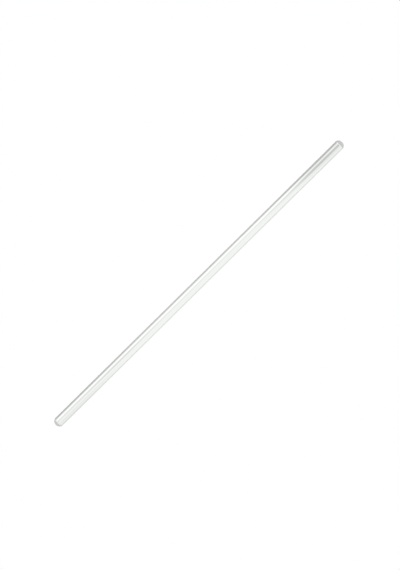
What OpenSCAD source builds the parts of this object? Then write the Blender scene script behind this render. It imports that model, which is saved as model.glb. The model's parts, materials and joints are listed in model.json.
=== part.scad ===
// Glass stirring rod: one straight length of drawn glass, with both ends fire-polished to low domes.
// It lies along X with the middle of its length at the origin. +Z is up, and lengths are in millimetres.

/* [Rod] */
// Overall length, from tip to tip
rod_length = 200; // [100:5:400]
// Diameter of the straight shank
rod_diameter = 5; // [4:0.5:12]

/* [Fire-polished ends] */
// How far each domed end stands out past the shank
end_rise = 2; // [1:0.1:2.5]
// Radius of the melted edge, where the dome turns into the shank
edge_radius = 0.75; // [0.2:0.05:1.8]

/* [Hidden] */

GLASS_COLOUR = [0.84, 0.92, 0.89];

rod_radius = rod_diameter / 2;
shank_length = rod_length - 2 * end_rise;

// The melted edge is an arc, and its centre runs around the axis on a ring of this radius.
edge_ring = rod_radius - edge_radius;

// The crown is the one sphere that passes through the tip and runs into the melted edge with no crease.
crown_radius = (pow(end_rise, 2) + pow(edge_ring, 2) - pow(edge_radius, 2))
    / (2 * (end_rise - edge_radius));

// Distance from the axis at which the crown hands over to the melted edge
crown_reach = edge_ring * crown_radius / (crown_radius - edge_radius);

// Facets of a round, for the preview
$fn = 128;

// Half section of one domed end. It starts on the axis, at the end of the shank, and rises along Y to the tip.
module end_section() {
    intersection() {
        translate([0, end_rise - crown_radius])
            circle(r = crown_radius);
        square([crown_reach, end_rise]);
    }
    intersection() {
        translate([edge_ring, 0])
            circle(r = edge_radius);
        square([rod_radius, end_rise]);
    }
}

// Half section of the whole rod, with the axis along Y
module rod_section() {
    translate([0, -shank_length / 2])
        square([rod_radius, shank_length]);
    for (end = [0, 1])
        mirror([0, end])
            translate([0, shank_length / 2])
                end_section();
}

module stirring_rod() {
    color(GLASS_COLOUR)
        rotate([0, 90, 0])
            rotate_extrude()
                rod_section();
}

stirring_rod();
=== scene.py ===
"""Glass stirring rod in a bright light tent.

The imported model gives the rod's length, diameter and place. This script turns a fine glass surface on
those sizes, dresses it, and sets the floor, the tent, the soft light and the camera round it.
"""

import json
import logging
import math
from dataclasses import dataclass
from enum import Enum
from itertools import pairwise

import bmesh
import bpy
from mathutils import Matrix, Vector


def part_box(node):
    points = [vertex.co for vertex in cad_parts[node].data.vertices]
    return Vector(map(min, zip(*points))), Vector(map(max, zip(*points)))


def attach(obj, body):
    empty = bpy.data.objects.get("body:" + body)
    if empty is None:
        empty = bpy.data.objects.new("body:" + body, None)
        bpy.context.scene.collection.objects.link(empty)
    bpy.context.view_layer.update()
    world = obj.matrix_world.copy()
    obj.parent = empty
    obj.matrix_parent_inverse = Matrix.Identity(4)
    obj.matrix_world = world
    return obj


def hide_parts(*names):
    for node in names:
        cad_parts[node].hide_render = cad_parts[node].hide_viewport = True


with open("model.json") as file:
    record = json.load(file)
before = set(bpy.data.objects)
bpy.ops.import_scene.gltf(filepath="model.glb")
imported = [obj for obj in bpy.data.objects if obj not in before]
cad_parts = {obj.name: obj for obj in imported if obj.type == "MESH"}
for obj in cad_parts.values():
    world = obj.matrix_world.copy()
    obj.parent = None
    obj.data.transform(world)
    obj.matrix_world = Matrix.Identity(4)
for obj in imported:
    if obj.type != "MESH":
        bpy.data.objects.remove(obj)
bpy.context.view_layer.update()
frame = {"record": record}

LOG = logging.getLogger("stirring_rod")

MILLIMETRE = 0.001
FULL_CIRCLE = 2 * math.pi
WHITE = (1.0, 1.0, 1.0, 1.0)

ROD_NODE = "stirring_rod"
ROD_PIECE = "glass_rod"
ROD_BODY = "root"
SHANK_MOUNT = "shank"
BAKE_MAP = "OFBake"

Socket = bpy.types.NodeSocket
Value = Socket | float | tuple[float, ...]
Section = list[tuple[float, float]]
Corner = tuple[float, float, float]
Ring = list[bmesh.types.BMVert]


class End(Enum):
    """The two ends of the rod, each with its direction along X."""

    NEAR = -1
    FAR = 1


class Mixture(Enum):
    """What two values are mixed as."""

    NUMBER = "FLOAT"
    COLOUR = "RGBA"


@dataclass(frozen=True)
class Grain:
    """How fine a pattern of smooth noise is.

    Attributes:
        per_metre: How many noise cells there are in a metre of X, Y and Z.
        detail: The number of finer layers of noise.
    """

    per_metre: tuple[float, float, float]
    detail: float


class Wiring:
    """Adds nodes to one node tree and joins them."""

    def __init__(self, tree: bpy.types.NodeTree) -> None:
        """Keeps the tree that the nodes go into."""
        self.tree = tree

    def add(self, kind: str, **settings: object) -> bpy.types.Node:
        """Adds one node.

        Args:
            kind: Blender's name for the type of node.
            settings: The node's own properties, such as operation.

        Returns:
            The new node.
        """
        node = self.tree.nodes.new(kind)
        for name, value in settings.items():
            setattr(node, name, value)
        return node

    def feed(self, socket: Socket, value: Value) -> None:
        """Links a socket to another one, or sets it to a plain value.

        Args:
            socket: The input to fill.
            value: An output to link from, or a number or colour.
        """
        if isinstance(value, Socket):
            self.tree.links.new(value, socket)
        else:
            socket.default_value = value

    def math(self, operation: str, *values: Value) -> Socket:
        """Works out one number from others.

        Args:
            operation: The Math node's operation.
            values: Its inputs, in order.

        Returns:
            The result.
        """
        node = self.add("ShaderNodeMath", operation=operation)
        for socket, value in zip(node.inputs, values):
            self.feed(socket, value)
        return node.outputs[0]

    def climb(
        self,
        value: Value,
        start: float,
        stop: float,
        low: float = 0.0,
        high: float = 1.0,
    ) -> Socket:
        """Turns a range of one value into a clamped range of another, with a soft start and stop.

        Args:
            value: The value to read.
            start: Where the range starts.
            stop: Where it stops, above start.
            low: The result at and below start.
            high: The result at and above stop.

        Returns:
            The result.
        """
        node = self.add("ShaderNodeMapRange", interpolation_type="SMOOTHSTEP")
        for socket, given in zip(node.inputs, (value, start, stop, low, high)):
            self.feed(socket, given)
        return node.outputs[0]

    def mix(self, mixture: Mixture, share: Value, first: Value, second: Value) -> Socket:
        """Mixes two values.

        Args:
            mixture: Whether they are numbers or colours.
            share: The share of the second one.
            first: The value at 0.
            second: The value at 1.

        Returns:
            The mixture.
        """
        node = self.add("ShaderNodeMix", data_type=mixture.value)
        sockets = [socket for socket in node.inputs if socket.enabled]
        for socket, value in zip(sockets, (share, first, second)):
            self.feed(socket, value)
        return next(socket for socket in node.outputs if socket.enabled)

    def noise(self, place: Socket, grain: Grain) -> Socket:
        """Reads smooth noise at a stretched place.

        Args:
            place: The coordinates, in metres.
            grain: How fine the noise is.

        Returns:
            The noise, from 0 to 1 with its middle at 0.5.
        """
        stretch = self.add("ShaderNodeMapping")
        self.feed(stretch.inputs["Vector"], place)
        stretch.inputs["Scale"].default_value = grain.per_metre
        noise = self.add("ShaderNodeTexNoise")
        self.feed(noise.inputs["Vector"], stretch.outputs[0])
        noise.inputs["Scale"].default_value = 1.0
        noise.inputs["Detail"].default_value = grain.detail
        return noise.outputs[0]


@dataclass(frozen=True)
class DrawnGlass:
    """Clear drawn laboratory glass, with faint lines along it that the flame has melted off the ends.

    Attributes:
        refractive_index: How strongly the glass bends light.
        loss_per_metre: What a metre of the glass takes from red, green and blue, as exponents.
        absorber_density: Density of the absorber that carries them, above the largest of them.
        line_height: Height of the draw lines, in metres.
        lines: How fine the draw lines are.
        ripple_height: Height of the slow waves left by drawing, in metres.
        ripples: How fine the waves are.
        polish: Roughness of clean glass.
        haze: Roughness added where handling has dulled the glass.
        haze_patches: How fine the dull patches are.
        haze_levels: The levels of their noise at which haze begins and is full.
        clear_colour: Share of red, green and blue that the surface lets through.
        streak_colour: The same for the densest streaks of the melt.
        streaks: How fine the streaks are.
        streak_levels: The levels of their noise below which a streak is densest and above which
            the glass is clear.
    """

    refractive_index: float = 1.47
    loss_per_metre: tuple[float, float, float] = (1.3, 0.5, 1.2)
    absorber_density: float = 60.0
    line_height: float = 6.0e-6
    lines: Grain = Grain((6.0, 4000.0, 4000.0), 2.0)
    ripple_height: float = 12.0e-6
    ripples: Grain = Grain((45.0, 260.0, 260.0), 1.0)
    polish: float = 0.0
    haze: float = 0.02
    haze_patches: Grain = Grain((60.0, 220.0, 220.0), 3.0)
    haze_levels: tuple[float, float] = (0.45, 0.75)
    clear_colour: tuple[float, float, float] = (0.985, 0.998, 0.977)
    streak_colour: tuple[float, float, float] = (0.972, 0.985, 0.964)
    streaks: Grain = Grain((14.0, 420.0, 420.0), 2.0)
    streak_levels: tuple[float, float] = (0.3, 0.7)

    def material(self, shank_half: float, tip: float) -> bpy.types.Material:
        """Makes the glass.

        Args:
            shank_half: Distance from the rod's middle to where its ends start.
            tip: Distance from the rod's middle to its tips.

        Returns:
            The new material.
        """
        material = bpy.data.materials.new("drawn_glass")
        material.use_nodes = True
        wiring = Wiring(material.node_tree)
        shader = material.node_tree.nodes["Principled BSDF"]
        shader.inputs["Transmission Weight"].default_value = 1.0
        shader.inputs["IOR"].default_value = self.refractive_index
        place = wiring.add("ShaderNodeTexCoord").outputs["Object"]
        drawn = self._drawn_share(wiring, place, shank_half, tip)
        wiring.feed(shader.inputs["Base Color"], self._melt(wiring, place))
        wiring.feed(shader.inputs["Roughness"], self._haze(wiring, place, drawn))
        wiring.feed(shader.inputs["Normal"], self._relief(wiring, place, drawn))
        self._tint(wiring, material.node_tree.nodes["Material Output"])
        return material

    def _drawn_share(self, wiring: Wiring, place: Socket, shank_half: float, tip: float) -> Socket:
        """Tells drawn glass from glass that the flame has melted smooth.

        Args:
            wiring: The material's nodes.
            place: The coordinates on the rod.
            shank_half: Distance from the rod's middle to where its ends start.
            tip: Distance from the rod's middle to its tips.

        Returns:
            1 along the shank, falling to 0 at the tips.
        """
        apart = wiring.add("ShaderNodeSeparateXYZ")
        wiring.feed(apart.inputs[0], place)
        reach = wiring.math("ABSOLUTE", apart.outputs["X"])
        # The fade starts as far inside the shank as the tip stands out past it.
        fade_start = 2 * shank_half - tip
        return wiring.climb(reach, fade_start, tip, 1.0, 0.0)

    def _melt(self, wiring: Wiring, place: Socket) -> Socket:
        """Makes the faint streaks of the melt.

        Args:
            wiring: The material's nodes.
            place: The coordinates on the rod.

        Returns:
            The colour of the surface.
        """
        clearness = wiring.climb(wiring.noise(place, self.streaks), *self.streak_levels)
        colours = [(*colour, 1.0) for colour in (self.streak_colour, self.clear_colour)]
        return wiring.mix(Mixture.COLOUR, clearness, *colours)

    def _haze(self, wiring: Wiring, place: Socket, drawn: Socket) -> Socket:
        """Makes clean glass with faint dull patches that stop short of the tips.

        Args:
            wiring: The material's nodes.
            place: The coordinates on the rod.
            drawn: 1 along the shank, falling to 0 at the tips.

        Returns:
            The roughness.
        """
        patches = wiring.climb(wiring.noise(place, self.haze_patches), *self.haze_levels)
        dull = wiring.math("MULTIPLY", patches, drawn)
        return wiring.math("MULTIPLY_ADD", dull, self.haze, self.polish)

    def _relief(self, wiring: Wiring, place: Socket, drawn: Socket) -> Socket:
        """Makes the draw lines and the slow ripples, as heights in metres for the bump.

        Args:
            wiring: The material's nodes.
            place: The coordinates on the rod.
            drawn: 1 along the shank, falling to 0 at the tips.

        Returns:
            The direction that the surface faces.
        """
        lines = wiring.math("MULTIPLY", wiring.noise(place, self.lines), self.line_height)
        lines = wiring.math("MULTIPLY", lines, drawn)
        ripples = wiring.math("MULTIPLY", wiring.noise(place, self.ripples), self.ripple_height)
        bump = wiring.add("ShaderNodeBump")
        bump.inputs["Strength"].default_value = 1.0
        bump.inputs["Distance"].default_value = 1.0
        wiring.feed(bump.inputs["Height"], wiring.math("ADD", lines, ripples))
        return bump.outputs["Normal"]

    def _tint(self, wiring: Wiring, output: bpy.types.Node) -> None:
        """Gives the glass its colour in depth.

        Args:
            wiring: The material's nodes.
            output: The material's output node.
        """
        absorber = wiring.add("ShaderNodeVolumeAbsorption")
        kept = [1 - loss / self.absorber_density for loss in self.loss_per_metre]
        absorber.inputs["Color"].default_value = (*kept, 1.0)
        absorber.inputs["Density"].default_value = self.absorber_density
        wiring.feed(output.inputs["Volume"], absorber.outputs[0])


@dataclass(frozen=True)
class PolishedEnd:
    """Section of a fire-polished end: a low crown whose rim rounds over into the shank.

    Attributes:
        rod_radius: Radius of the shank.
        rise: How far the crown stands out past the shank.
        edge_radius: Radius of the melted edge.
        crown_steps: Stretches along the crown's arc.
        edge_steps: Stretches along the edge's arc.
    """

    rod_radius: float
    rise: float
    edge_radius: float
    crown_steps: int = 28
    edge_steps: int = 12

    @property
    def edge_ring(self) -> float:
        """Distance from the rod's axis to the centre of the edge's arc."""
        return self.rod_radius - self.edge_radius

    @property
    def crown_radius(self) -> float:
        """Radius of the crown that meets the edge's arc without a corner."""
        squares = self.rise**2 + self.edge_ring**2 - self.edge_radius**2
        return squares / (2 * (self.rise - self.edge_radius))

    @property
    def meeting_angle(self) -> float:
        """Angle from the rod's axis at which the crown meets the edge."""
        return math.asin(self.edge_ring / (self.crown_radius - self.edge_radius))

    def points(self, tip: float) -> Section:
        """Traces the end from its tip to the shank.

        Args:
            tip: Distance from the rod's middle to the tip.

        Returns:
            The points of the section, each a distance along the rod and a distance from its axis.
        """
        crown_centre = (tip - self.crown_radius, 0.0)
        crown_angles = (0.0, self.meeting_angle)
        crown = self._arc(crown_centre, self.crown_radius, crown_angles, self.crown_steps)
        edge_centre = (tip - self.rise, self.edge_ring)
        edge_angles = (self.meeting_angle, math.pi / 2)
        edge = self._arc(edge_centre, self.edge_radius, edge_angles, self.edge_steps)
        return crown + edge[1:]

    @staticmethod
    def _arc(
        centre: tuple[float, float],
        radius: float,
        angles: tuple[float, float],
        steps: int,
    ) -> Section:
        """Traces an arc.

        Args:
            centre: Its centre, along the rod and from the axis.
            radius: Its radius.
            angles: The angles from the rod's axis at which it starts and stops.
            steps: The number of equal stretches.

        Returns:
            Its points, both ends included.
        """
        start, stop = angles
        turns = [start + (stop - start) * step / steps for step in range(steps + 1)]
        along, out = centre
        return [(along + radius * math.cos(turn), out + radius * math.sin(turn)) for turn in turns]


@dataclass
class StirringRod:
    """The rod: one straight length of drawn glass that lies along X, with both ends fire-polished.

    Attributes:
        length: Distance from tip to tip.
        radius: Radius of the shank.
        shank_length: Length of the straight stretch between the ends.
        edge_radius: Radius of the melted edge at each end.
        sides: Faces round the rod.
        shank_steps: Rows of faces along the shank.
        glass: The finish.
    """

    length: float
    radius: float
    shank_length: float
    edge_radius: float = 0.75 * MILLIMETRE
    sides: int = 256
    shank_steps: int = 64
    glass: DrawnGlass = DrawnGlass()

    @classmethod
    def from_frame(cls) -> "StirringRod":
        """Reads the rod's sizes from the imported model.

        Returns:
            The rod, not built yet.
        """
        low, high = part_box(ROD_NODE)
        mount = next(m for m in frame["record"]["mounts"] if m["name"] == SHANK_MOUNT)
        return cls(
            length=high[0] - low[0],
            radius=mount["dims"]["r_mm"] * MILLIMETRE,
            shank_length=mount["dims"]["length_mm"] * MILLIMETRE,
        )

    @property
    def tip(self) -> float:
        """Distance from the rod's middle to a tip."""
        return self.length / 2

    @property
    def shank_half(self) -> float:
        """Distance from the rod's middle to where an end starts."""
        return self.shank_length / 2

    def section(self) -> Section:
        """Traces half of the rod's lengthwise section.

        Returns:
            The points from the far tip to the near one, each a place along X and a distance from X.
        """
        step = self.shank_length / self.shank_steps
        shank = [(self.shank_half - step * i, self.radius) for i in range(1, self.shank_steps)]
        return self._end(End.FAR) + shank + self._end(End.NEAR)[::-1]

    def _end(self, end: End) -> Section:
        """Traces one polished end.

        Args:
            end: Which end.

        Returns:
            Its points from the tip to the shank.
        """
        rise = (self.length - self.shank_length) / 2
        points = PolishedEnd(self.radius, rise, self.edge_radius).points(self.tip)
        return [(end.value * along, out) for along, out in points]

    def build(self) -> bpy.types.Object:
        """Turns the section into the finished piece.

        Returns:
            The rod, dressed and riding on its body.
        """
        mesh = bpy.data.meshes.new(ROD_PIECE)
        shape = bmesh.new()
        self._turn(shape)
        shape.to_mesh(mesh)
        shape.free()
        rod = bpy.data.objects.new(ROD_PIECE, mesh)
        bpy.context.scene.collection.objects.link(rod)
        mesh.materials.append(self.glass.material(self.shank_half, self.tip))
        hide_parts(ROD_NODE)
        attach(rod, ROD_BODY)
        return rod

    def _turn(self, shape: bmesh.types.BMesh) -> None:
        """Turns the section round X, with a map of length against girth.

        Args:
            shape: The empty mesh to fill.
        """
        section = self.section()
        rings = [self._ring(shape, along, out) for along, out in section]
        run = self._run(section)
        wrap = shape.loops.layers.uv.new(BAKE_MAP)
        for (ring, start), (following, stop) in pairwise(zip(rings, run)):
            for side in range(self.sides):
                self._face(shape, wrap, (ring, following), (start, stop), side)

    def _ring(self, shape: bmesh.types.BMesh, along: float, out: float) -> Ring:
        """Adds one ring of points, or a single point on the axis.

        Args:
            shape: The mesh.
            along: The ring's place along X.
            out: Its distance from the axis.

        Returns:
            The new points.
        """
        if out == 0:
            return [shape.verts.new((along, 0.0, 0.0))]
        turns = [FULL_CIRCLE * side / self.sides for side in range(self.sides)]
        corners = [(along, out * math.cos(turn), out * math.sin(turn)) for turn in turns]
        return [shape.verts.new(corner) for corner in corners]

    @staticmethod
    def _run(section: Section) -> list[float]:
        """Measures how far along the section each point lies.

        Args:
            section: The points.

        Returns:
            Their places, as shares of the whole.
        """
        travelled = [0.0]
        for here, there in pairwise(section):
            travelled.append(travelled[-1] + math.dist(here, there))
        return [distance / travelled[-1] for distance in travelled]

    def _face(
        self,
        shape: bmesh.types.BMesh,
        wrap: bmesh.types.BMLayerItem,
        rings: tuple[Ring, Ring],
        run: tuple[float, float],
        side: int,
    ) -> None:
        """Adds one face between two rings, with its place on the map.

        Args:
            shape: The mesh.
            wrap: The map's layer.
            rings: The two rings, of which one may be a single point.
            run: Where the rings lie along the section, as shares of it.
            side: The number of the face round the rod.
        """
        corners = []
        for ring, share, order in zip(rings, run, ((1, 0), (0, 1))):
            if len(ring) == 1:
                # A point on the axis lies in the middle of its face's width on the map.
                corners.append((ring[0], share, side + 0.5))
                continue
            corners += [(ring[(side + turn) % self.sides], share, side + turn) for turn in order]
        face = shape.faces.new([corner[0] for corner in corners])
        face.smooth = True
        for loop, (_, share, turn) in zip(face.loops, corners):
            loop[wrap].uv = (share, turn / self.sides)


def oblong(start: float, length: float, sides: tuple[float, float], height: float) -> list[Corner]:
    """Gives the corners of a level oblong.

    Args:
        start: Where it starts along X, in metres.
        length: Its length along X.
        sides: Where its two long sides lie along Y.
        height: Height at which it lies.

    Returns:
        Its four corners, in order round it.
    """
    right, left = sides
    stop = start + length
    return [(start, right, height), (stop, right, height), (stop, left, height), (start, left, height)]


def stage_sheet(name: str, corners: list[Corner], brightness: float) -> bpy.types.Object:
    """Makes an evenly lit sheet that casts no shadow and shows in no reflection.

    Args:
        name: Its name.
        corners: Its corners, in metres.
        brightness: Its brightness, where 1 shows as white.

    Returns:
        The sheet.
    """
    material = bpy.data.materials.new(name)
    material.use_nodes = True
    nodes = material.node_tree.nodes
    nodes.remove(nodes["Principled BSDF"])
    wiring = Wiring(material.node_tree)
    glow = wiring.add("ShaderNodeEmission")
    glow.inputs["Strength"].default_value = brightness
    wiring.feed(nodes["Material Output"].inputs["Surface"], glow.outputs[0])
    mesh = bpy.data.meshes.new(name)
    mesh.from_pydata(corners, [], [range(len(corners))])
    mesh.materials.append(material)
    sheet = bpy.data.objects.new(name, mesh)
    bpy.context.scene.collection.objects.link(sheet)
    sheet.visible_glossy = False
    sheet.visible_diffuse = False
    sheet.visible_shadow = False
    return sheet


@dataclass(frozen=True)
class Card:
    """A grey card in the tent. The rod bends its light into a line along the glass.

    Attributes:
        name: What the card does.
        shade: Share of the tent's light that the card takes away. A negative one adds light.
        across: The angles round the rod between which it stands, in degrees from straight down.
            Positive angles are towards -Y and negative ones towards +Y. A limit past 180 lets the card
            run to straight up with no soft edge there.
        along: The angles along the rod between which it stands, in degrees, positive towards +X.
        blur: Width of its soft edges, in degrees across and along the rod.
    """

    name: str
    shade: float
    across: tuple[float, float] = (-180.0, 180.0)
    along: tuple[float, float] = (-90.0, 90.0)
    blur: tuple[float, float] = (4.0, 3.0)

    def cover(self, wiring: Wiring, across: Socket, along: Socket) -> Socket:
        """Works out what the card leaves of the light.

        Args:
            wiring: The world's nodes.
            across: The angle round the rod of the direction looked in.
            along: The angle of that direction along the rod.

        Returns:
            What the light is multiplied by: 1 off the card, less on a grey one, more on a bright one.
        """
        shares = []
        for angle, limits, blur in zip((across, along), (self.across, self.along), self.blur):
            half = math.radians(blur) / 2
            for limit, sides in zip(map(math.radians, limits), ((0.0, 1.0), (1.0, 0.0))):
                shares.append(wiring.climb(angle, limit - half, limit + half, *sides))
        inside = shares[0]
        for share in shares[1:]:
            inside = wiring.math("MULTIPLY", inside, share)
        left = wiring.math("MULTIPLY_ADD", inside, -self.shade, 1.0)
        left.node.label = self.name
        return left


@dataclass(frozen=True)
class LightTent:
    """The soft light all round, as a world: an even glow with soft grey cards in it.

    Attributes:
        glow: Brightness of the tent.
        backdrop: Brightness that the camera sees behind everything.
        cards: The cards.
    """

    glow: float = 0.968
    backdrop: float = 1.0
    cards: tuple[Card, ...] = (
        Card("rim on the left", 0.42, across=(19.0, 72.0), along=(-90.0, 23.0), blur=(4.0, 6.0)),
        Card("outer left rim", 0.6, across=(48.0, 90.0), along=(-90.0, 23.0), blur=(4.0, 6.0)),
        Card("near end of left rim", 0.12, across=(15.0, 74.0), along=(-90.0, 8.8), blur=(4.0, 2.0)),
        Card("far half of left rim", 0.06, across=(16.0, 74.0), along=(14.0, 17.4), blur=(6.0, 2.0)),
        Card("far end of left rim", 0.11, across=(12.0, 74.0), along=(15.0, 17.4), blur=(6.0, 1.0)),
        Card("rim on the right", 0.12, across=(-94.0, -48.0), along=(-90.0, 21.0)),
        Card("right of the middle", 0.03, across=(-34.0, -23.0), along=(-90.0, 17.4), blur=(4.0, 1.0)),
        Card("near end, right side", 0.07, across=(-80.0, -22.0), along=(-90.0, 8.4), blur=(6.0, 2.0)),
        Card("far end, right side", 0.08, across=(-36.0, -16.0), along=(15.6, 17.4), blur=(6.0, 1.0)),
        Card("bright line", -0.12, across=(-1.0, 10.0), blur=(4.0, 3.0)),
        Card("middle line", 0.08, across=(-12.0, -0.5), along=(-90.0, 17.4), blur=(2.0, 1.0)),
        Card("near stretch of line", 0.12, across=(-12.0, -2.0), along=(7.2, 9.9), blur=(3.0, 2.0)),
        Card("near patch of line", 0.03, across=(-14.5, 1.0), along=(8.2, 9.3), blur=(3.0, 0.6)),
        Card("far half of line", 0.1, across=(-18.0, -1.0), along=(14.4, 17.4), blur=(4.0, 1.6)),
        Card("far end of line", 0.28, across=(-17.0, -0.5), along=(15.45, 17.0), blur=(4.0, 1.0)),
        Card("beside far end of line", 0.17, across=(-1.0, 20.0), along=(15.45, 16.8), blur=(4.0, 1.0)),
        Card("near end", 0.02, along=(-90.0, 7.2), blur=(4.0, 1.2)),
        Card("right shoulder", 0.14, across=(-94.0, -20.0), along=(17.5, 30.0), blur=(8.0, 3.0)),
        Card("ring in near end", 0.2, across=(-16.0, 40.0), along=(21.0, 30.0), blur=(8.0, 4.0)),
        Card("crescent at near end", 0.4, across=(-95.0, 55.0), along=(28.0, 90.0), blur=(10.0, 8.0)),
        Card("left of crescent", 0.1, across=(0.0, 55.0), along=(34.0, 90.0), blur=(10.0, 8.0)),
        Card("roof on the right", 0.55, across=(115.0, 220.0), blur=(30.0, 3.0)),
        Card("roof on the left", 0.55, across=(-220.0, -115.0), blur=(30.0, 3.0)),
    )

    def build(self) -> None:
        """Makes the world."""
        world = bpy.data.worlds.new("light_tent")
        bpy.context.scene.world = world
        world.use_nodes = True
        wiring = Wiring(world.node_tree)
        apart = wiring.add("ShaderNodeSeparateXYZ")
        wiring.feed(apart.inputs[0], wiring.add("ShaderNodeTexCoord").outputs["Generated"])
        forwards, sideways, upwards = apart.outputs
        down = wiring.math("MULTIPLY", upwards, -1.0)
        right = wiring.math("MULTIPLY", sideways, -1.0)
        across = wiring.math("ARCTAN2", right, down)
        along = wiring.math("ARCSINE", forwards)
        light: Value = self.glow
        for card in self.cards:
            light = wiring.math("MULTIPLY", light, card.cover(wiring, across, along))
        seen = wiring.add("ShaderNodeLightPath").outputs["Is Camera Ray"]
        background = world.node_tree.nodes["Background"]
        background.inputs["Color"].default_value = WHITE
        strength = wiring.mix(Mixture.NUMBER, seen, light, self.backdrop)
        wiring.feed(background.inputs["Strength"], strength)


@dataclass(frozen=True)
class PaintedTipShade:
    """A small grey sheet under the far tip that paints the shade under the domed end. It only shows
    through the glass.

    Attributes:
        tip: Distance from the rod's middle to the tip, in metres.
        height: Height at which it lies, in metres.
        inset: How far short of the tip it starts, in metres.
        length: Its length along X, in metres.
        sides: Where its two long sides lie along Y, in metres.
        brightness: Brightness of the painted shade, where 1 shows as white.
    """

    tip: float
    height: float
    inset: float = 1.6 * MILLIMETRE
    length: float = 0.012
    sides: tuple[float, float] = (-0.006, 0.006)
    brightness: float = 0.6

    def build(self) -> bpy.types.Object:
        """Makes the sheet of painted shade.

        Returns:
            The sheet of painted shade.
        """
        corners = oblong(self.tip - self.inset, self.length, self.sides, self.height)
        card = stage_sheet("painted_tip_shade", corners, self.brightness)
        # Painted shade: the camera never sees the sheet, only rays through the glass do.
        card.visible_camera = False
        return card


@dataclass(frozen=True)
class SoftLight:
    """A large soft light above one side of the rod.

    Attributes:
        place: Its centre, in metres.
        size: Its width and height, in metres.
        brightness: Its radiance, where 1 shows as white.
    """

    place: Corner = (0.25, 0.82, 0.88)
    size: tuple[float, float] = (1.2, 1.0)
    brightness: float = 0.3

    def build(self) -> bpy.types.Object:
        """Makes the light, turned towards the rod.

        Returns:
            The light.
        """
        lamp = bpy.data.lights.new("soft_light", "AREA")
        lamp.shape = "RECTANGLE"
        lamp.size, lamp.size_y = self.size
        # The power of a flat lamp is its radiance times pi times its area.
        lamp.energy = self.brightness * math.pi * self.size[0] * self.size[1]
        light = bpy.data.objects.new("soft_light", lamp)
        bpy.context.scene.collection.objects.link(light)
        light.location = self.place
        light.rotation_euler = (-Vector(self.place)).to_track_quat("-Z", "Y").to_euler()
        light.visible_camera = False
        return light


@dataclass(frozen=True)
class PaleFloor:
    """The white sheet that the rod lies on.

    Attributes:
        height: Height of the sheet, where the rod touches it.
        side: Length of each side.
        brightness: Its brightness, where 1 shows as white.
    """

    height: float
    side: float = 8.0
    brightness: float = 1.0

    def build(self) -> bpy.types.Object:
        """Makes the floor.

        Returns:
            The floor.
        """
        half = self.side / 2
        corners = oblong(-half, self.side, (-half, half), self.height)
        floor = stage_sheet("floor", corners, self.brightness)
        floor.visible_transmission = False
        return floor


@dataclass(frozen=True)
class StudioCamera:
    """The camera, which looks down on the rod from one side.

    Attributes:
        aim: The point that it looks at, in metres.
        azimuth: Direction it faces, in degrees from +Y towards +X.
        elevation: How steeply it looks down, in degrees.
        distance: How far it stands from the point it looks at, in metres.
        lens: Its focal length, in millimetres.
    """

    aim: Corner = (-0.00205, -0.00089, 0.0)
    azimuth: float = 45.834
    elevation: float = 73.6
    distance: float = 1.08
    lens: float = 140.22

    def build(self) -> bpy.types.Object:
        """Makes the camera and gives it to the scene.

        Returns:
            The camera.
        """
        turn, fall = math.radians(self.azimuth), math.radians(self.elevation)
        ahead = Vector((math.sin(turn), math.cos(turn), 0.0))
        right = Vector((math.cos(turn), -math.sin(turn), 0.0))
        view = ahead * math.cos(fall) - Vector((0.0, 0.0, math.sin(fall)))
        camera = bpy.data.objects.new("camera", bpy.data.cameras.new("camera"))
        camera.data.lens = self.lens
        camera.location = Vector(self.aim) - view * self.distance
        camera.rotation_mode = "QUATERNION"
        axes = Matrix((right, right.cross(view), -view)).transposed()
        camera.rotation_quaternion = axes.to_quaternion()
        bpy.context.scene.collection.objects.link(camera)
        bpy.context.scene.camera = camera
        return camera


@dataclass(frozen=True)
class Studio:
    """Everything round the rod: floor, tent, soft light and camera.

    Attributes:
        floor: The floor.
        painted_tip_shade: The sheet of painted shade under the far tip.
        tent: The light all round.
        light: The soft light.
        camera: The camera.
        bounces: How often light may bounce along the inside of the rod.
    """

    floor: PaleFloor
    painted_tip_shade: PaintedTipShade
    tent: LightTent = LightTent()
    light: SoftLight = SoftLight()
    camera: StudioCamera = StudioCamera()
    bounces: int = 160

    def build(self) -> None:
        """Makes each of them, and shows light and colour unchanged."""
        bpy.context.scene.view_settings.view_transform = "Standard"
        paths = bpy.context.scene.cycles
        paths.max_bounces = paths.glossy_bounces = paths.transmission_bounces = self.bounces
        self.floor.build()
        self.painted_tip_shade.build()
        self.tent.build()
        self.light.build()
        self.camera.build()


def report(piece: bpy.types.Object) -> None:
    """Logs what was built.

    Args:
        piece: The finished piece.
    """
    faces = len(piece.data.polygons)
    size = ", ".join(f"{side / MILLIMETRE:.1f}" for side in piece.dimensions)
    LOG.info("%s: %d faces, %s mm", piece.name, faces, size)


def main() -> None:
    """Builds the rod and its studio."""
    logging.basicConfig(level=logging.INFO, format="%(name)s: %(message)s")
    rod = StirringRod.from_frame()
    report(rod.build())
    beneath = -rod.radius
    Studio(floor=PaleFloor(beneath), painted_tip_shade=PaintedTipShade(rod.tip, beneath)).build()


if __name__ == "__main__":
    main()
